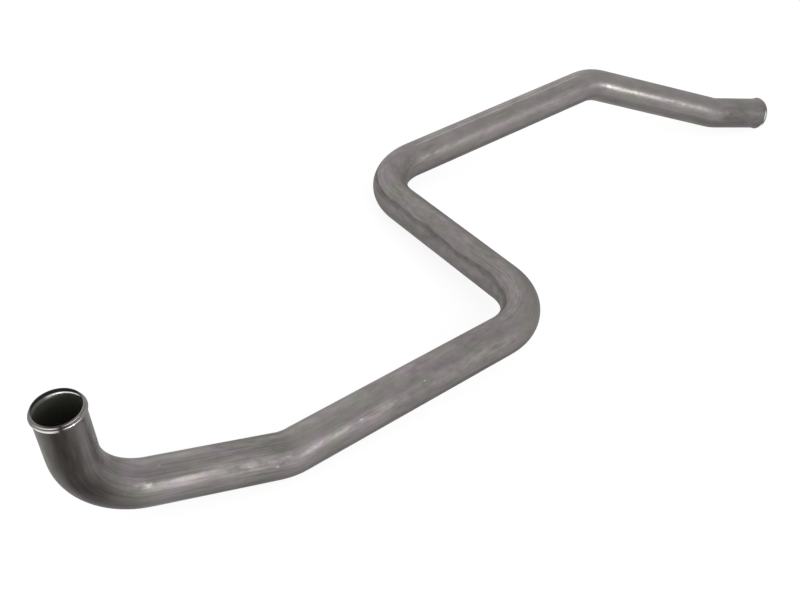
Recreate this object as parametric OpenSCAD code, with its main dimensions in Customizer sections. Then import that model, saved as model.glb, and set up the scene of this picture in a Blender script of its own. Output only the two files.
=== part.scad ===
// Coolant tube: one length of bare steel tube with six bends, open at both ends,
// and a rolled hose bead beside each mouth. All sizes are in millimetres and degrees.
//
// It lies on the floor as it comes to rest: on bend 2, on bend 4 and on the far bead.
// +Z is up, +X runs from the near mouth to the far one, and the origin is on the floor,
// below the middle of the tube's bounding box.

/* [Tube] */

// outside diameter of the tube
tube_d = 38; // [30:1:50]
// thickness of the steel
wall = 1.2; // [0.8:0.1:1.4]
// radius of every bend at the centre line, in tube diameters
bend_ratio = 1.5; // [1.2:0.1:3]

/* [Straights] */

// from the near mouth to bend 1
straight_1 = 46; // [20:1:400]
// from bend 1 to bend 2
straight_2 = 103; // [5:1:400]
// from bend 2 to bend 3
straight_3 = 230; // [5:1:400]
// from bend 3 to bend 4
straight_4 = 163; // [5:1:400]
// from bend 4 to bend 5
straight_5 = 254; // [5:1:400]
// from bend 5 to bend 6
straight_6 = 167; // [5:1:400]
// from bend 6 to the far mouth
straight_7 = 69; // [20:1:400]

/* [Bends] */

// angle of bend 1
bend_1 = 78; // [5:1:120]
// angle of bend 2
bend_2 = 17; // [5:1:120]
// angle of bend 3
bend_3 = 89; // [5:1:120]
// angle of bend 4
bend_4 = 93; // [5:1:120]
// angle of bend 5
bend_5 = 32; // [5:1:120]
// angle of bend 6
bend_6 = 11; // [5:1:120]

/* [Turns about the tube's own axis] */

// before bend 2
turn_2 = -60; // [-180:1:180]
// before bend 3
turn_3 = -30; // [-180:1:180]
// before bend 4
turn_4 = 175; // [-180:1:180]
// before bend 5
turn_5 = 43; // [-180:1:180]
// before bend 6
turn_6 = -172; // [-180:1:180]

/* [Mouths] */

// from the mouth to the crest of the bead
bead_set = 3.5; // [3.3:0.1:8]
// height of the crest above the tube
bead_rise = 1.3; // [0.8:0.1:1.6]
// how far the lip is turned in
lip_inset = 0.3; // [0:0.1:0.5]

/* [Attitude at rest] */

// turn about X, first
lie_x = 175.77; // [-180:0.01:180]
// turn about Y, next
lie_y = -7.71; // [-180:0.01:180]
// turn about Z, last
lie_z = -27.9; // [-180:0.1:180]

/* [Hidden] */

$fn = 96;

steel = "#7d7976";

tube_r = tube_d / 2;
bend_r = bend_ratio * tube_d;

straights = [straight_1, straight_2, straight_3, straight_4, straight_5, straight_6, straight_7];
bends = [bend_1, bend_2, bend_3, bend_4, bend_5, bend_6];
turns = [0, turn_2, turn_3, turn_4, turn_5, turn_6];
bend_count = len(bends);

// The wall keeps its thickness through the lip and bead: each outer arc has an inner one
// with the same centre. Behind the bead it thins a little, where a broad shoulder leads
// down into the bore.
lip_r = tube_r - lip_inset;
rim_round = 0.3;
crest_arc = 1.6;
foot_arc = 0.6;
shoulder_arc = 5;
bead_r = tube_r + bead_rise;
front_angle = acos(1 - (bead_r - lip_r) / (crest_arc + foot_arc));
front_foot = bead_set - (crest_arc + foot_arc) * sin(front_angle);

// How a bend joins a straight: a bend's wall is a hair thinner on both sides, as bending
// draws it, and the straight's wall thins to meet it over a short neck.
hair = 0.05;
neck = 1;

// Points of an arc, about one for every ten degrees.
function arc(centre, radius, from, to) =
    let (steps = max(2, round(abs(to - from) / 10)))
    [for (i = [0:steps])
        let (a = from + (to - from) * i / steps)
        centre + radius * [cos(a), sin(a)]];

// How the bead's back slopes to the tube and where it ends. depth is 0 for the outside of
// the wall and its thickness for the inside, and foot is the radius of the arc at the end.
function back_angle(depth, foot) =
    acos((tube_r - depth + foot - bead_r + crest_arc) / (foot + crest_arc - depth));
function back_end(depth, foot) =
    bead_set + (foot + crest_arc - depth) * sin(back_angle(depth, foot));

// One side of the bead's wall, from the lip to the tube, as [radius, distance from the mouth].
function bead_side(depth, foot) =
    let (angle = back_angle(depth, foot))
    concat(
        arc([lip_r + foot_arc, front_foot], foot_arc + depth, 180, 180 - front_angle),
        arc([bead_r - crest_arc, bead_set], crest_arc - depth, -front_angle, angle),
        arc([tube_r - depth + foot, back_end(depth, foot)], foot, 180 + angle, 180));

// The cut edge of the lip, with its burrs taken off.
function rim() =
    concat(
        arc([lip_r - wall + rim_round, rim_round], rim_round, 180, 270),
        arc([lip_r - rim_round, rim_round], rim_round, 270, 360));

function reversed(list) = [for (i = [len(list) - 1:-1:0]) list[i]];

// The end of a straight that meets a bend, from the outside to the bore. It reaches past the
// joint at z by a neck, inside the bend's wall; way is 1 at the far end and -1 at the near one.
function joint(z, way) = [
    [tube_r, z - way * neck],
    [tube_r - 2 * hair, z + way * neck],
    [tube_r - wall + 2 * hair, z + way * neck],
    [tube_r - wall, z - way * neck]];

// A straight of the given length with the mouth, lip and bead at its start.
module mouth_straight(length) {
    rotate_extrude()
        polygon(concat(
            rim(),
            bead_side(0, foot_arc),
            joint(length, 1),
            reversed(bead_side(wall, shoulder_arc))));
}

module plain_straight(length) {
    rotate_extrude()
        polygon(concat(reversed(joint(0, -1)), joint(length, 1)));
}

// A bend that starts at the origin along +Z and turns towards +X. Each end starts half a
// neck back, inside the straight's wall, so that the two make one solid.
module bend(angle) {
    lap = neck / 2 / bend_r * 180 / PI;
    translate([bend_r, 0, 0])
        rotate([90, 0, 180])
            rotate([0, 0, -lap])
                rotate_extrude(angle = angle + 2 * lap)
                    translate([bend_r, 0])
                        difference() {
                            circle(tube_r - hair);
                            circle(tube_r - wall + hair);
                        }
}

// Carries what follows to the end of a bend.
module past_bend(angle) {
    translate([bend_r, 0, 0])
        rotate([0, angle, 0])
            translate([-bend_r, 0, 0])
                children();
}

// The tube from straight number i on, with that straight's start at the origin.
module run(i) {
    if (i == 0)
        mouth_straight(straights[i]);
    else if (i < bend_count)
        plain_straight(straights[i]);
    else
        translate([0, 0, straights[i]])
            rotate([180, 0, 0])
                mouth_straight(straights[i]);

    if (i < bend_count)
        translate([0, 0, straights[i]])
            rotate([0, 0, turns[i]]) {
                bend(bends[i]);
                past_bend(bends[i])
                    run(i + 1);
            }
}

// The same route as matrices, to find how far the tube reaches.
function shift(v) = [[1, 0, 0, v.x], [0, 1, 0, v.y], [0, 0, 1, v.z], [0, 0, 0, 1]];
function about_x(a) = [[1, 0, 0, 0], [0, cos(a), -sin(a), 0], [0, sin(a), cos(a), 0], [0, 0, 0, 1]];
function about_y(a) = [[cos(a), 0, sin(a), 0], [0, 1, 0, 0], [-sin(a), 0, cos(a), 0], [0, 0, 0, 1]];
function about_z(a) = [[cos(a), -sin(a), 0, 0], [sin(a), cos(a), 0, 0], [0, 0, 1, 0], [0, 0, 0, 1]];
function round_bend(a) = shift([bend_r, 0, 0]) * about_y(a) * shift([-bend_r, 0, 0]);
function to_bend(i) = shift([0, 0, straights[i]]) * about_z(turns[i]);

attitude = about_z(lie_z) * about_y(lie_y) * about_x(lie_x);

// The start of each straight.
starts = [
    for (i = 0, m = attitude; i <= bend_count;
         m = i < bend_count ? m * to_bend(i) * round_bend(bends[i]) : m, i = i + 1)
        m];

bead_end = back_end(0, foot_arc);

// Rings round the tube, as [place, radius, rounding]: the rim and the bead's crest at each
// mouth, both ends of each straight's full section, and one at every degree of each bend.
// Nothing between two of them reaches further than they do.
function mouth_rings(mouth, inward) = [
    [mouth * shift([0, 0, inward * rim_round]), lip_r - rim_round, rim_round],
    [mouth * shift([0, 0, inward * bead_set]), bead_r - crest_arc, crest_arc]];
rings = concat(
    mouth_rings(starts[0], 1),
    [for (i = [0:bend_count], z = [i == 0 ? bead_end : neck,
                                   straights[i] - (i == bend_count ? bead_end : neck)])
        [starts[i] * shift([0, 0, z]), tube_r, 0]],
    [for (i = [0:bend_count - 1], a = [0:1:bends[i]])
        [starts[i] * to_bend(i) * round_bend(a), tube_r - hair, 0]],
    mouth_rings(starts[bend_count] * shift([0, 0, straights[bend_count]]), -1));

// How far a ring reaches from its centre along row axis k.
function reach(ring, k) = ring[1] * sqrt(max(0, 1 - pow(ring[0][k][2], 2))) + ring[2];
function low(k) = min([for (ring = rings) ring[0][k][3] - reach(ring, k)]);
function high(k) = max([for (ring = rings) ring[0][k][3] + reach(ring, k)]);

// The near mouth's place when the origin is below the middle of the whole tube.
near_mouth = -[(low(0) + high(0)) / 2, (low(1) + high(1)) / 2, low(2)];

module tube() {
    color(steel)
        translate(near_mouth)
            rotate([lie_x, lie_y, lie_z])
                run(0);
}

tube();
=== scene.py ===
"""Coolant tube of bare steel, lying on a pale studio floor.

The tube is swept along the same straights, bends and turns as the solid part, so that its
surface carries a coordinate that runs along the tube and round it. The clouds in the skin,
the die's streaks and the weld seam follow that coordinate through every bend.
"""
import math

import bpy
from mathutils import Euler, Matrix, Vector


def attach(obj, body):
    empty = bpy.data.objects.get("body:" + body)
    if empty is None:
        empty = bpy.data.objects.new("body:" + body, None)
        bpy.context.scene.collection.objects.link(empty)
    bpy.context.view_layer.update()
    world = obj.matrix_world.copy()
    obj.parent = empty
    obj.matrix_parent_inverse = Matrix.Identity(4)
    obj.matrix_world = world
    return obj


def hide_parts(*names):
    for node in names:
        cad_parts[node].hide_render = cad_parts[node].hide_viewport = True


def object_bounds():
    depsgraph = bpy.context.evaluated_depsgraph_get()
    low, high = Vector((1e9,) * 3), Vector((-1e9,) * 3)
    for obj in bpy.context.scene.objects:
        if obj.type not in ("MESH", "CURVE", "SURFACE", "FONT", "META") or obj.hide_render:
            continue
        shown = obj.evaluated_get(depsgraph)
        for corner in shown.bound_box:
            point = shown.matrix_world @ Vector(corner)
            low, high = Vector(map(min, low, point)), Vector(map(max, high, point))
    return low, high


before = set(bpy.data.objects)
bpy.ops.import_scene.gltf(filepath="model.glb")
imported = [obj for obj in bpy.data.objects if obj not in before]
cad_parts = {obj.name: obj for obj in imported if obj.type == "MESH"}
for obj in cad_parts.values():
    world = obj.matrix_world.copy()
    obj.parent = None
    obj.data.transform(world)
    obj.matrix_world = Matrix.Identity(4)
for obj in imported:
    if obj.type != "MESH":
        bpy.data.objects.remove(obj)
cad_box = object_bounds()

MM = 0.001

# The tube, in millimetres and degrees, as the solid part has it.
STRAIGHTS = (46, 103, 230, 163, 254, 167, 69)
BENDS = (78, 17, 89, 93, 32, 11)
TURNS = (0, -60, -30, 175, 43, -172)
ATTITUDE = (175.77, -7.71, -27.9)
TUBE_D = 38
TUBE_R = TUBE_D / 2
WALL = 1.2
BEND_RATIO = 1.5
BEND_R = BEND_RATIO * TUBE_D

# A bend's wall is a hair thinner on both sides, and a straight's narrows to it over a neck.
HAIR = 0.05
NECK = 1

# The lip and bead beside each mouth, in millimetres and degrees.
BEAD_SET = 3.5
BEAD_RISE = 1.3
BEAD_R = TUBE_R + BEAD_RISE
LIP_INSET = 0.3
LIP_R = TUBE_R - LIP_INSET
RIM_ROUND = 0.3
CREST_ARC = 1.6
FOOT_ARC = 0.6
SHOULDER_ARC = 5
FRONT_ANGLE = math.degrees(math.acos(1 - (BEAD_R - LIP_R) / (CREST_ARC + FOOT_ARC)))
FRONT_FOOT = BEAD_SET - (CREST_ARC + FOOT_ARC) * math.sin(math.radians(FRONT_ANGLE))

# How much of each end the lip and bead take up, in millimetres.
BEAD_ZONE = 10

# How finely the tube is meshed: points round it, millimetres along a straight, and degrees
# along a bend and along an arc of the bead.
ROUND_STEPS = 96
STRAIGHT_STEP = 12
BEND_STEP = 1.5
ARC_STEP = 12

# The colours of the steel: the skin's two tints, the bore, the painted highlight on the rolled
# metal, and the sheen at the tube's edges.
MAUVE_SKIN = "#817a7c"
OLIVE_SKIN = "#7d7b76"
BORE = "#55564e"
PAINTED_HIGHLIGHT = "#e8e6e3"
EDGE_SHEEN = "#d4d4d4"

# The colours of the painted shade in the mouths, of the painted dark reflection on the near end, and of the
# handling marks.
MOUTH_SHADE_PAINT = "#3c3a37"
DARK_REFLECTION_PAINT = "#2f2b28"
PIT = "#5c5855"
SCRAPE = "#b0adaa"

# How rough the skin is along the tube, as (millimetres from the near mouth, roughness). The
# bending die left bend 1 and the end of straight 2 matt, and handling dulled the far end.
FINISH = ((0, 0.32), (80, 0.5), (110, 0.45), (120, 0.24), (150, 0.26), (175, 0.55), (230, 0.6),
          (250, 0.38), (270, 0.45), (350, 0.6), (820, 0.6), (860, 0.48), (1080, 0.38),
          (1100, 0.31), (1150, 0.33), (1190, 0.4), (1250, 0.43), (1270, 0.58), (1350, 0.58))
BORE_ROUGHNESS = 0.65
BURNISHED_ROUGHNESS = 0.18

# The die's streaks and lines are drawn this wide, in millimetres. The real ones are finer and
# wouldn't show.
DIE_LINE = 1.5

# Where the weld seam runs and how far it wanders to each side, in degrees round the tube, and
# over what length it does so, in millimetres.
SEAM_BEARING = -56
SEAM_WANDER = 7
SEAM_WANDER_LENGTH = 40

# The painted highlight lines on the bead are this far apart, in millimetres.
HIGHLIGHT_LINE_PITCH = 1.7

# The camera: where it stands and looks, in metres, its roll in degrees, its lens and film in
# millimetres, and the nearest distance that it sees, in metres.
CAMERA_AT = (-0.78098, -0.39252, 0.65743)
CAMERA_LOOKS_AT = (-0.15124, -0.021, 0.03)
CAMERA_ROLL = 10.11
CAMERA_LENS = 45.91
CAMERA_FILM = 36
CAMERA_NEAREST = 0.01

# From the middle of the floor to each side, in metres.
FLOOR_REACH = 6

# The colours of the studio.
WHITE_PAINT = "#e6e6e6"
WHITE_LIGHT = "#ffffff"


# Route

def turn(axis, degrees):
    return Matrix.Rotation(math.radians(degrees), 4, axis)


def shift(x, y, z):
    return Matrix.Translation(Vector((x, y, z)))


def segments():
    """Each straight and bend as (start, length, kind, frame at its start, turn so far)."""
    place = Euler([math.radians(a) for a in ATTITUDE], "XYZ").to_matrix().to_4x4()
    start = 0
    turned = 0
    for i, length in enumerate(STRAIGHTS):
        yield start, length, "straight", place, turned
        start += length
        place = place @ shift(0, 0, length)
        if i < len(BENDS):
            turned += TURNS[i]
            place = place @ turn("Z", TURNS[i])
            arc = BEND_R * math.radians(BENDS[i])
            yield start, arc, "bend", place, turned
            start += arc
            place = place @ round_bend(arc)


def round_bend(arc):
    """From the start of a bend to a point that far along it."""
    angle = math.degrees(arc / BEND_R)
    return shift(BEND_R, 0, 0) @ turn("Y", angle) @ shift(-BEND_R, 0, 0)


ROUTE = list(segments())
LENGTH = ROUTE[-1][0] + ROUTE[-1][1]


def frame_at(distance):
    """Frame on the centre line with Z along the tube. Its X doesn't turn round the tube."""
    for start, length, kind, place, turned in ROUTE:
        if distance <= start + length:
            break
    along = distance - start
    step = shift(0, 0, along) if kind == "straight" else round_bend(along)
    return place @ step @ turn("Z", -turned)


# Section

def arc_points(centre, radius, start, end):
    """Points of an arc as (radius, distance from the mouth)."""
    steps = max(2, round(abs(end - start) / ARC_STEP))
    angles = [math.radians(start + (end - start) * i / steps) for i in range(steps + 1)]
    return [(centre[0] + radius * math.cos(a), centre[1] + radius * math.sin(a)) for a in angles]


def bead_side(depth, foot):
    """One side of the bead's wall, from the lip to the tube, which it joins in an arc of radius foot."""
    crest = CREST_ARC - depth
    side_r = TUBE_R - depth
    angle = math.degrees(math.acos((side_r + foot - BEAD_R + CREST_ARC) / (foot + crest)))
    foot_at = BEAD_SET + (foot + crest) * math.sin(math.radians(angle))
    return (arc_points((LIP_R + FOOT_ARC, FRONT_FOOT), FOOT_ARC + depth, 180, 180 - FRONT_ANGLE)
            + arc_points((BEAD_R - CREST_ARC, BEAD_SET), crest, -FRONT_ANGLE, angle)
            + arc_points((side_r + foot, foot_at), foot, 180 + angle, 180))


def rim():
    """The cut edge of the lip, from the bore to the outside."""
    return (arc_points((LIP_R - WALL + RIM_ROUND, RIM_ROUND), RIM_ROUND, 180, 270)
            + arc_points((LIP_R - RIM_ROUND, RIM_ROUND), RIM_ROUND, 270, 360))


def body_side(radius, bend_radius):
    """One side of the wall between the two beads, as (radius, distance)."""
    points = []
    for start, length, kind, _, _ in ROUTE:
        inset = NECK if kind == "straight" else 0
        first = start + (BEAD_ZONE if start == 0 else inset)
        last = start + length - (BEAD_ZONE if start + length == LENGTH else inset)
        step = STRAIGHT_STEP if kind == "straight" else BEND_R * math.radians(BEND_STEP)
        count = max(2, math.ceil((last - first) / step))
        size = radius if kind == "straight" else bend_radius
        points += [(size, first + (last - first) * i / count) for i in range(count + 1)]
    return points


def from_far_mouth(points):
    """Points given from the near mouth, as they lie at the far one."""
    return [(r, LENGTH - z) for r, z in reversed(points)]


def section():
    """The wall once round as (radius, distance, 1 in the bore): out outside and back inside."""
    lip = rim() + bead_side(0, FOOT_ARC)
    shoulder = bead_side(WALL, SHOULDER_ARC)
    outside = lip + body_side(TUBE_R, TUBE_R - HAIR) + from_far_mouth(lip)
    bore = shoulder + body_side(TUBE_R - WALL, TUBE_R - WALL + HAIR) + from_far_mouth(shoulder)
    return [(r, z, 0) for r, z in outside] + [(r, z, 1) for r, z in reversed(bore)]


# Tube

def as_the_solid_lies(points):
    """The points moved to the solid part's place: their box gets the same middle and underside."""
    low = Vector([min(p[k] for p in points) for k in range(3)])
    high = Vector([max(p[k] for p in points) for k in range(3)])
    solid_low, solid_high = cad_box
    move = (solid_low + solid_high - low - high) / 2
    move.z = solid_low.z - low.z
    return [p + move for p in points]


def sweep_tube():
    """The tube's mesh, with its straightened coordinate in millimetres on each point."""
    rings = section()
    points = []
    straightened = []
    inside = []
    for radius, distance, in_bore in rings:
        place = frame_at(distance)
        for k in range(ROUND_STEPS):
            a = 2 * math.pi * k / ROUND_STEPS
            x = radius * math.cos(a)
            y = radius * math.sin(a)
            points.append(place @ Vector((x, y, 0)) * MM)
            straightened += (distance, x, y)
            inside.append(in_bore)
    faces = []
    for i in range(len(rings)):
        here = i * ROUND_STEPS
        there = (i + 1) % len(rings) * ROUND_STEPS
        for k in range(ROUND_STEPS):
            n = (k + 1) % ROUND_STEPS
            faces.append((here + k, here + n, there + n, there + k))
    mesh = bpy.data.meshes.new("tube")
    mesh.from_pydata(as_the_solid_lies(points), [], faces)
    mesh.attributes.new("straightened", "FLOAT_VECTOR", "POINT").data.foreach_set("vector", straightened)
    mesh.attributes.new("inside", "FLOAT", "POINT").data.foreach_set("value", inside)
    mesh.shade_smooth()
    mesh.update()
    piece = bpy.data.objects.new("steel_tube", mesh)
    bpy.context.scene.collection.objects.link(piece)
    return piece


# Materials

def linear(hex_colour):
    """An sRGB hex colour as linear red, green, blue and alpha."""
    channels = [int(hex_colour[i:i + 2], 16) / 255 for i in (1, 3, 5)]
    return [c / 12.92 if c <= 0.04045 else ((c + 0.055) / 1.055) ** 2.4 for c in channels] + [1]


def add(tree, kind, inputs, **settings):
    """A node with its settings, and its inputs set or linked. Returns the node."""
    node = tree.nodes.new(kind)
    for name, value in settings.items():
        setattr(node, name, value)
    for name, value in inputs.items():
        if isinstance(value, bpy.types.NodeSocket):
            tree.links.new(value, node.inputs[name])
        else:
            node.inputs[name].default_value = value
    return node


def new_material(name):
    """An empty material and its node tree."""
    material = bpy.data.materials.new(name)
    material.use_nodes = True
    material.node_tree.nodes.clear()
    return material, material.node_tree


def band(tree, value, centre, inner, outer):
    """1 where value is within inner of centre, falling smoothly to 0 at outer."""
    away = add(tree, "ShaderNodeMath", {0: value, 1: centre}, operation="SUBTRACT")
    apart = add(tree, "ShaderNodeMath", {0: away.outputs[0]}, operation="ABSOLUTE")
    return add(tree, "ShaderNodeMapRange", {
        "Value": apart.outputs[0], "From Min": inner, "From Max": outer,
        "To Min": 1, "To Max": 0}, interpolation_type="SMOOTHSTEP").outputs[0]


def on_side(tree, bearing, centre, inner, outer):
    """1 within inner degrees of centre round the tube, falling to 0 at outer."""
    away = add(tree, "ShaderNodeMath", {0: bearing, 1: math.radians(centre)}, operation="SUBTRACT")
    near = add(tree, "ShaderNodeMath", {0: away.outputs[0]}, operation="COSINE")
    return add(tree, "ShaderNodeMapRange", {
        "Value": near.outputs[0], "From Min": math.cos(math.radians(outer)),
        "From Max": math.cos(math.radians(inner))}).outputs[0]


def drawn_out(tree, place, length, width, detail):
    """Clouds of the given length along the tube and width round it, in millimetres."""
    stretched = add(tree, "ShaderNodeMapping", {
        "Vector": place, "Scale": (1 / length, 1 / width, 1 / width)})
    return add(tree, "ShaderNodeTexNoise", {
        "Vector": stretched.outputs[0], "Scale": 1, "Detail": detail, "Roughness": 0.6}).outputs["Fac"]


def drawn_steel():
    """Mild steel tube, welded along its length, cold-drawn and bent, with its thin oxide skin.

    It gives a satin grey with a soft highlight, mauve and olive clouds drawn out along the
    tube, and streaks from the die. Rolling has smoothed the bead, and the bore is dull. The
    colour also carries painted highlights on the bead and the shoulder inside, painted shade in
    the mouths and along the lower side, a painted dark reflection on the near end, and painted
    light on top.
    """
    material, tree = new_material("cold-drawn steel")
    place = add(tree, "ShaderNodeAttribute", {}, attribute_name="straightened").outputs["Vector"]
    inside = add(tree, "ShaderNodeAttribute", {}, attribute_name="inside").outputs["Fac"]
    axes = add(tree, "ShaderNodeSeparateXYZ", {0: place})
    along = axes.outputs["X"]
    bearing = add(tree, "ShaderNodeMath", {0: axes.outputs["Z"], 1: axes.outputs["Y"]},
                  operation="ARCTAN2").outputs[0]
    depth = from_mouth(tree, along)
    patches = drawn_out(tree, place, length=12, width=5, detail=3)
    seam = weld_seam(tree, along, bearing)
    polish_and_highlight = smoothed_and_painted_highlight(tree, depth, bearing, inside)

    skin = scored(tree, along, bearing, seam, streaked_skin(tree, place, along))
    # Painted light makes the top paler, and painted shade darkens the lower side.
    skin = painted_light_and_shade(tree, along, bearing, skin)
    # A painted dark reflection on the front of the near end, then the handling marks.
    skin = nicked(tree, place, painted_dark_reflection(tree, place, along, bearing, skin))
    plain = add(tree, "ShaderNodeMix", {
        "Factor": inside, "A": skin, "B": linear(BORE)}, data_type="RGBA")
    # Painted shade in the mouths.
    mouth_shaded = add(tree, "ShaderNodeMix", {
        "Factor": painted_mouth_shade(tree, depth, bearing, inside), "A": plain.outputs["Result"],
        "B": linear(MOUTH_SHADE_PAINT)}, data_type="RGBA")
    # Painted highlights on the bead and on the shoulder inside.
    colour = add(tree, "ShaderNodeMix", {
        "Factor": polish_and_highlight, "A": mouth_shaded.outputs["Result"], "B": linear(PAINTED_HIGHLIGHT)}, data_type="RGBA")

    dull = add(tree, "ShaderNodeMix", {
        "Factor": inside, "A": satin(tree, along, patches), "B": BORE_ROUGHNESS})
    gloss = add(tree, "ShaderNodeMix", {
        "Factor": polish_and_highlight, "A": dull.outputs["Result"], "B": BURNISHED_ROUGHNESS})
    # The bore's thicker oxide counts as half metal, except where rolling has rubbed it off.
    oxidised = add(tree, "ShaderNodeMath", {0: inside, 1: polish_and_highlight}, operation="SUBTRACT")
    metallic = add(tree, "ShaderNodeMapRange", {
        "Value": oxidised.outputs[0], "To Min": 1, "To Max": 0.5})
    bsdf = add(tree, "ShaderNodeBsdfPrincipled", {
        "Base Color": colour.outputs["Result"], "Metallic": metallic.outputs[0],
        "Roughness": gloss.outputs["Result"], "Specular Tint": linear(EDGE_SHEEN),
        "Normal": relief(tree, place, patches, seam)})
    add(tree, "ShaderNodeOutputMaterial", {"Surface": bsdf.outputs[0]})
    return material


def relief(tree, place, patches, seam):
    """The skin's fine relief: shallow waves, the lines that the die left, and the sunken weld."""
    waves = add(tree, "ShaderNodeBump", {"Height": patches, "Strength": 0.4, "Distance": 0.4 * MM})
    lines = add(tree, "ShaderNodeBump", {
        "Height": drawn_out(tree, place, length=60, width=DIE_LINE, detail=2),
        "Strength": 0.12, "Distance": 0.3 * MM, "Normal": waves.outputs[0]})
    return add(tree, "ShaderNodeBump", {
        "Height": seam, "Strength": 0.4, "Distance": 0.3 * MM, "Normal": lines.outputs[0]},
        invert=True).outputs[0]


def streaked_skin(tree, place, along):
    """The oxide skin's colour: clouds of two tints, blotches, and streaks in some places."""
    between = add(tree, "ShaderNodeMapRange", {
        "Value": drawn_out(tree, place, length=24, width=14, detail=2),
        "From Min": 0.38, "From Max": 0.62})
    tint = add(tree, "ShaderNodeMix", {
        "Factor": between.outputs[0], "A": linear(MAUVE_SKIN), "B": linear(OLIVE_SKIN)}, data_type="RGBA")
    blotches = add(tree, "ShaderNodeMapRange", {
        "Value": drawn_out(tree, place, length=28, width=14, detail=5),
        "From Min": 0.3, "From Max": 0.7, "To Min": 0.86, "To Max": 1.14})
    streaks = add(tree, "ShaderNodeMapRange", {
        "Value": drawn_out(tree, place, length=40, width=DIE_LINE, detail=2),
        "From Min": 0.35, "From Max": 0.65, "To Min": -0.15, "To Max": 0.15})
    scattered = add(tree, "ShaderNodeMapRange", {
        "Value": drawn_out(tree, place, length=90, width=20, detail=1),
        "From Min": 0.45, "From Max": 0.65})
    # They are strongest on bend 1 and straight 2.
    strongest = band(tree, along, centre=140, inner=80, outer=120)
    strength = add(tree, "ShaderNodeMath", {0: scattered.outputs[0], 1: strongest}, operation="MAXIMUM")
    streaked = add(tree, "ShaderNodeMath", {0: streaks.outputs[0], 1: strength.outputs[0]},
                   operation="MULTIPLY")
    shade = add(tree, "ShaderNodeMath", {0: streaked.outputs[0], 1: blotches.outputs[0]}, operation="ADD")
    return add(tree, "ShaderNodeVectorMath", {
        0: tint.outputs["Result"], "Scale": shade.outputs[0]}, operation="SCALE").outputs[0]


def scored(tree, along, bearing, seam, skin):
    """The skin with the dark weld seam, and a light score along straight 5."""
    score = add(tree, "ShaderNodeMath", {
        0: on_side(tree, bearing, centre=0, inner=1.7, outer=4.6),
        1: band(tree, along, centre=945, inner=110, outer=130)}, operation="MULTIPLY")
    light = add(tree, "ShaderNodeMapRange", {"Value": score.outputs[0], "To Min": 1, "To Max": 1.35})
    dark = add(tree, "ShaderNodeMapRange", {"Value": seam, "To Min": 1, "To Max": 0.68})
    shade = add(tree, "ShaderNodeMath", {0: light.outputs[0], 1: dark.outputs[0]}, operation="MULTIPLY")
    return add(tree, "ShaderNodeVectorMath", {
        0: skin, "Scale": shade.outputs[0]}, operation="SCALE").outputs[0]


def painted_light_and_shade(tree, along, bearing, skin):
    """The skin paler on top from straight 3 on, as painted light, and darker along the lower side, as
    painted shade.
    """
    past_straight_3 = add(tree, "ShaderNodeMapRange", {"Value": along, "From Min": 230, "From Max": 330})
    on_top = add(tree, "ShaderNodeMath", {
        0: past_straight_3.outputs[0], 1: on_side(tree, bearing, centre=-32, inner=18, outer=62)},
        operation="MULTIPLY")
    pale = add(tree, "ShaderNodeMapRange", {"Value": on_top.outputs[0], "To Min": 1, "To Max": 1.2})
    shaded_below = add(tree, "ShaderNodeMapRange", {
        "Value": on_side(tree, bearing, centre=108, inner=6, outer=18), "To Min": 1, "To Max": 0.78})
    # The front of the far end is darker too.
    front = add(tree, "ShaderNodeMath", {
        0: band(tree, along, centre=1330, inner=42, outer=60),
        1: on_side(tree, bearing, centre=66, inner=16, outer=38)}, operation="MULTIPLY")
    darker = add(tree, "ShaderNodeMapRange", {"Value": front.outputs[0], "To Min": 1, "To Max": 0.7})
    lower = add(tree, "ShaderNodeMath", {0: shaded_below.outputs[0], 1: darker.outputs[0]}, operation="MULTIPLY")
    shade = add(tree, "ShaderNodeMath", {0: pale.outputs[0], 1: lower.outputs[0]}, operation="MULTIPLY")
    return add(tree, "ShaderNodeVectorMath", {
        0: skin, "Scale": shade.outputs[0]}, operation="SCALE").outputs[0]


def satin(tree, along, patches):
    """The skin's roughness: FINISH along the tube, up to a fifth rougher or smoother in patches."""
    share = add(tree, "ShaderNodeMath", {0: along, 1: LENGTH}, operation="DIVIDE")
    base = add(tree, "ShaderNodeValToRGB", {0: share.outputs[0]})
    stops = base.color_ramp.elements
    stops.remove(stops[1])
    for i, (distance, roughness) in enumerate(FINISH):
        stop = stops.new(distance / LENGTH) if i else stops[0]
        stop.color = (roughness, roughness, roughness, 1)
    patchy = add(tree, "ShaderNodeMapRange", {
        "Value": patches, "From Min": 0.35, "From Max": 0.65, "To Min": 0.8, "To Max": 1.2})
    return add(tree, "ShaderNodeMath", {
        0: base.outputs[0], 1: patchy.outputs[0]}, operation="MULTIPLY").outputs[0]


def weld_seam(tree, along, bearing):
    """The dressed weld: a dark wandering line, sharp on one side and soft on the other."""
    wander = add(tree, "ShaderNodeTexNoise", {
        "W": along, "Scale": 1 / SEAM_WANDER_LENGTH, "Detail": 1}, noise_dimensions="1D")
    off_line = add(tree, "ShaderNodeMapRange", {
        "Value": wander.outputs["Fac"],
        "To Min": math.radians(-SEAM_WANDER), "To Max": math.radians(SEAM_WANDER)})
    from_seam = add(tree, "ShaderNodeMath", {
        0: bearing, 1: math.radians(SEAM_BEARING)}, operation="SUBTRACT")
    side = add(tree, "ShaderNodeMath", {0: from_seam.outputs[0], 1: off_line.outputs[0]}, operation="ADD")
    soft = add(tree, "ShaderNodeMapRange", {
        "Value": side.outputs[0], "From Min": math.radians(-20), "From Max": 0},
        interpolation_type="SMOOTHSTEP")
    sharp = add(tree, "ShaderNodeMapRange", {
        "Value": side.outputs[0], "From Min": math.radians(4), "From Max": math.radians(7),
        "To Min": 1, "To Max": 0})
    return add(tree, "ShaderNodeMath", {
        0: soft.outputs[0], 1: sharp.outputs[0]}, operation="MULTIPLY").outputs[0]


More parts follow.
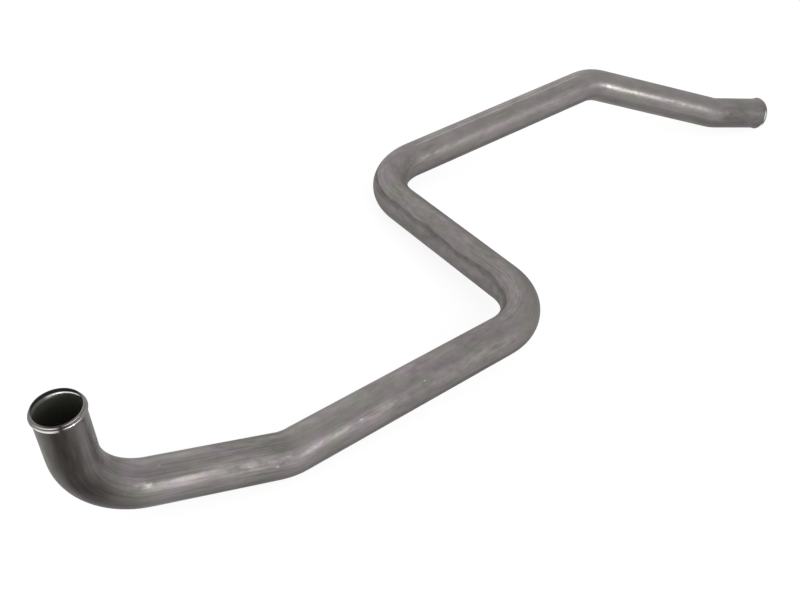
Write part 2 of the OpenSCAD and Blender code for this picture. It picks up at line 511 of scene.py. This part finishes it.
def painted_dark_reflection(tree, place, along, bearing, skin):
    """The skin with a painted dark reflection down the front of the near end."""
    # The painted reflection's middle moves round the tube in bend 1.
    middle = add(tree, "ShaderNodeMapRange", {
        "Value": along, "From Min": 40, "From Max": 130,
        "To Min": math.radians(101), "To Max": math.radians(68)})
    from_middle = add(tree, "ShaderNodeMath", {0: bearing, 1: middle.outputs[0]}, operation="SUBTRACT")
    across = band(tree, from_middle.outputs[0], centre=0, inner=math.radians(5), outer=math.radians(68))
    whole = add(tree, "ShaderNodeMath", {
        0: across, 1: band(tree, along, centre=0, inner=60, outer=145)}, operation="MULTIPLY")
    broken_up = add(tree, "ShaderNodeMapRange", {
        "Value": drawn_out(tree, place, length=30, width=6, detail=3),
        "From Min": 0.3, "From Max": 0.7, "To Min": 0.8})
    dark_reflection = add(tree, "ShaderNodeMath", {0: whole.outputs[0], 1: broken_up.outputs[0]}, operation="MULTIPLY")
    return add(tree, "ShaderNodeMix", {
        "Factor": dark_reflection.outputs[0], "A": skin, "B": linear(DARK_REFLECTION_PAINT)}, data_type="RGBA").outputs["Result"]


def nicked(tree, place, skin):
    """The skin with small handling marks, bright scrapes and dark pits up to 3 by 1.5 mm."""
    # There is one mark to each 17 mm along the tube and 8 mm round it.
    spread = add(tree, "ShaderNodeMapping", {"Vector": place, "Scale": (1 / 17, 1 / 8, 1 / 8)})
    cells = add(tree, "ShaderNodeTexVoronoi", {"Vector": spread.outputs[0], "Scale": 1})
    mark = add(tree, "ShaderNodeMapRange", {
        "Value": cells.outputs["Distance"], "From Min": 0.05, "From Max": 0.1, "To Min": 1, "To Max": 0})
    # Half of them are bright, and each is more or less faint.
    draw = add(tree, "ShaderNodeSeparateColor", {0: cells.outputs["Color"]})
    bright = add(tree, "ShaderNodeMath", {0: draw.outputs["Red"], 1: 0.5}, operation="GREATER_THAN")
    metal = add(tree, "ShaderNodeMix", {
        "Factor": bright.outputs[0], "A": linear(PIT), "B": linear(SCRAPE)}, data_type="RGBA")
    part = add(tree, "ShaderNodeMath", {0: mark.outputs[0], 1: draw.outputs["Green"]}, operation="MULTIPLY")
    return add(tree, "ShaderNodeMix", {
        "Factor": part.outputs[0], "A": skin, "B": metal.outputs["Result"]},
        data_type="RGBA").outputs["Result"]


def from_mouth(tree, along):
    """How far in from the nearer mouth a point is, in millimetres."""
    from_middle = add(tree, "ShaderNodeMath", {0: along, 1: LENGTH / 2}, operation="SUBTRACT")
    apart = add(tree, "ShaderNodeMath", {0: from_middle.outputs[0]}, operation="ABSOLUTE")
    return add(tree, "ShaderNodeMath", {0: LENGTH / 2, 1: apart.outputs[0]}, operation="SUBTRACT").outputs[0]


def painted_mouth_shade(tree, depth, bearing, inside):
    """A mask for painted shade on the upper side of the lip's cut edge and in the groove behind it."""
    cut_edge = band(tree, depth, centre=0, inner=0.4, outer=1)
    groove = band(tree, depth, centre=0, inner=3.6, outer=4.6)
    shaded_place = add(tree, "ShaderNodeMix", {"Factor": inside, "A": cut_edge, "B": groove})
    return add(tree, "ShaderNodeMath", {
        0: shaded_place.outputs["Result"], 1: on_side(tree, bearing, centre=-90, inner=60, outer=96)},
        operation="MULTIPLY").outputs[0]


def smoothed_and_painted_highlight(tree, depth, bearing, inside):
    """A mask for the rolled steel on the bead and the shoulder inside: smoother, and painted bright as a
    highlight.
    """
    # The bead's crest and the foot of its front get a painted highlight on one side.
    raised = add(tree, "ShaderNodeMath", {
        0: band(tree, depth, centre=BEAD_SET, inner=0.5, outer=1.5),
        1: band(tree, depth, centre=FRONT_FOOT, inner=0.2, outer=0.7)}, operation="MAXIMUM")
    crest_highlight = add(tree, "ShaderNodeMath", {
        0: raised.outputs[0], 1: on_side(tree, bearing, centre=128, inner=14, outer=32)},
        operation="MULTIPLY")
    # Further round, painted highlight lines run round the bead.
    across = add(tree, "ShaderNodeMath", {0: depth, 1: HIGHLIGHT_LINE_PITCH / 2}, operation="PINGPONG")
    rings = add(tree, "ShaderNodeMapRange", {
        "Value": across.outputs[0], "From Min": 0.5, "From Max": 0.75})
    marked = add(tree, "ShaderNodeMath", {
        0: band(tree, depth, centre=2.5, inner=2, outer=3),
        1: on_side(tree, bearing, centre=68, inner=11, outer=23)}, operation="MULTIPLY")
    lined = add(tree, "ShaderNodeMath", {0: rings.outputs[0], 1: marked.outputs[0]}, operation="MULTIPLY")
    outer = add(tree, "ShaderNodeMath", {0: crest_highlight.outputs[0], 1: lined.outputs[0]}, operation="MAXIMUM")
    # Inside, the shoulder carries a painted highlight as a ring, most on its upper side.
    upper_highlight = add(tree, "ShaderNodeMapRange", {
        "Value": on_side(tree, bearing, centre=-45, inner=34, outer=66), "To Min": 0.1, "To Max": 1})
    inner = add(tree, "ShaderNodeMath", {
        0: band(tree, depth, centre=5.1, inner=0.9, outer=1.4), 1: upper_highlight.outputs[0]},
        operation="MULTIPLY")
    return add(tree, "ShaderNodeMix", {
        "Factor": inside, "A": outer.outputs[0], "B": inner.outputs[0]}).outputs["Result"]


# Studio

def sees_background(tree):
    """1 for the rays that see the plain white background: the camera's, and metal's and glass's."""
    seen = add(tree, "ShaderNodeLightPath", {})
    shiny = add(tree, "ShaderNodeMath", {
        0: seen.outputs["Is Glossy Ray"], 1: seen.outputs["Is Transmission Ray"]}, operation="MAXIMUM")
    return add(tree, "ShaderNodeMath", {
        0: seen.outputs["Is Camera Ray"], 1: shiny.outputs[0]}, operation="MAXIMUM").outputs[0]


def white_board():
    """Board with matt white paint. It gives an even white, in which the tube's shadow shows."""
    material, tree = new_material("matt white paint")
    paint = add(tree, "ShaderNodeBsdfDiffuse", {"Color": linear(WHITE_PAINT)})
    # In the background it is mostly a glow, and the third that is left of the paint keeps the shadow.
    glow = add(tree, "ShaderNodeEmission", {"Color": linear(WHITE_LIGHT), "Strength": 0.85})
    dimmed = add(tree, "ShaderNodeMixShader", {0: 0.65, 1: paint.outputs[0]})
    lit = add(tree, "ShaderNodeAddShader", {0: dimmed.outputs[0], 1: glow.outputs[0]})
    both = add(tree, "ShaderNodeMixShader", {
        0: sees_background(tree), 1: paint.outputs[0], 2: lit.outputs[0]})
    add(tree, "ShaderNodeOutputMaterial", {"Surface": both.outputs[0]})
    return material


def studio_floor():
    """The wide pale floor that the tube lies on."""
    mesh = bpy.data.meshes.new("floor")
    corners = [(x * FLOOR_REACH, y * FLOOR_REACH, 0) for x, y in ((-1, -1), (1, -1), (1, 1), (-1, 1))]
    mesh.from_pydata(corners, [], [(0, 1, 2, 3)])
    mesh.materials.append(white_board())
    floor = bpy.data.objects.new("studio_floor", mesh)
    bpy.context.scene.collection.objects.link(floor)


def studio_world():
    """The room: an even light on the tube, and plain white as a background."""
    world = bpy.data.worlds.new("studio")
    world.use_nodes = True
    tree = world.node_tree
    tree.nodes.clear()
    room = add(tree, "ShaderNodeBackground", {"Color": linear(WHITE_LIGHT), "Strength": 0.6})
    white = add(tree, "ShaderNodeBackground", {"Color": linear(WHITE_LIGHT), "Strength": 1})
    both = add(tree, "ShaderNodeMixShader", {
        0: sees_background(tree), 1: room.outputs[0], 2: white.outputs[0]})
    add(tree, "ShaderNodeOutputWorld", {"Surface": both.outputs[0]})
    bpy.context.scene.world = world


def soft_light(name, azimuth, elevation, distance, width, height, power):
    """A rectangular soft light facing the tube, in degrees, metres and watts.

    Azimuth 0 is along +X and 90 along +Y.
    """
    light = bpy.data.lights.new(name, "AREA")
    light.shape = "RECTANGLE"
    light.size = width
    light.size_y = height
    light.energy = power
    lamp = bpy.data.objects.new(name, light)
    level = math.cos(math.radians(elevation))
    direction = Vector((level * math.cos(math.radians(azimuth)),
                        level * math.sin(math.radians(azimuth)),
                        math.sin(math.radians(elevation))))
    lamp.location = direction * distance
    lamp.rotation_euler = direction.to_track_quat("Z", "Y").to_euler()
    bpy.context.scene.collection.objects.link(lamp)


def photo_camera():
    """The camera, at the photograph's viewing angle."""
    data = bpy.data.cameras.new("camera")
    data.lens = CAMERA_LENS
    data.sensor_width = CAMERA_FILM
    data.clip_start = CAMERA_NEAREST
    camera = bpy.data.objects.new("camera", data)
    aim = Vector(CAMERA_LOOKS_AT) - Vector(CAMERA_AT)
    level = aim.to_track_quat("-Z", "Y").to_matrix()
    roll = Matrix.Rotation(math.radians(CAMERA_ROLL), 3, "Z")
    camera.location = CAMERA_AT
    camera.rotation_euler = (level @ roll).to_euler()
    bpy.context.scene.collection.objects.link(camera)
    bpy.context.scene.camera = camera


bpy.context.scene.view_settings.view_transform = "Standard"
tube = sweep_tube()
tube.data.materials.append(drawn_steel())
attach(tube, "root")
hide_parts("tube")

studio_floor()
studio_world()
soft_light("window", azimuth=-92.3, elevation=26.1, distance=8, width=1, height=1.8, power=113)
soft_light("left wall", azimuth=-128, elevation=17, distance=3, width=3, height=2, power=17)
soft_light("back wall", azimuth=55, elevation=16, distance=3, width=3, height=2, power=9)
photo_camera()
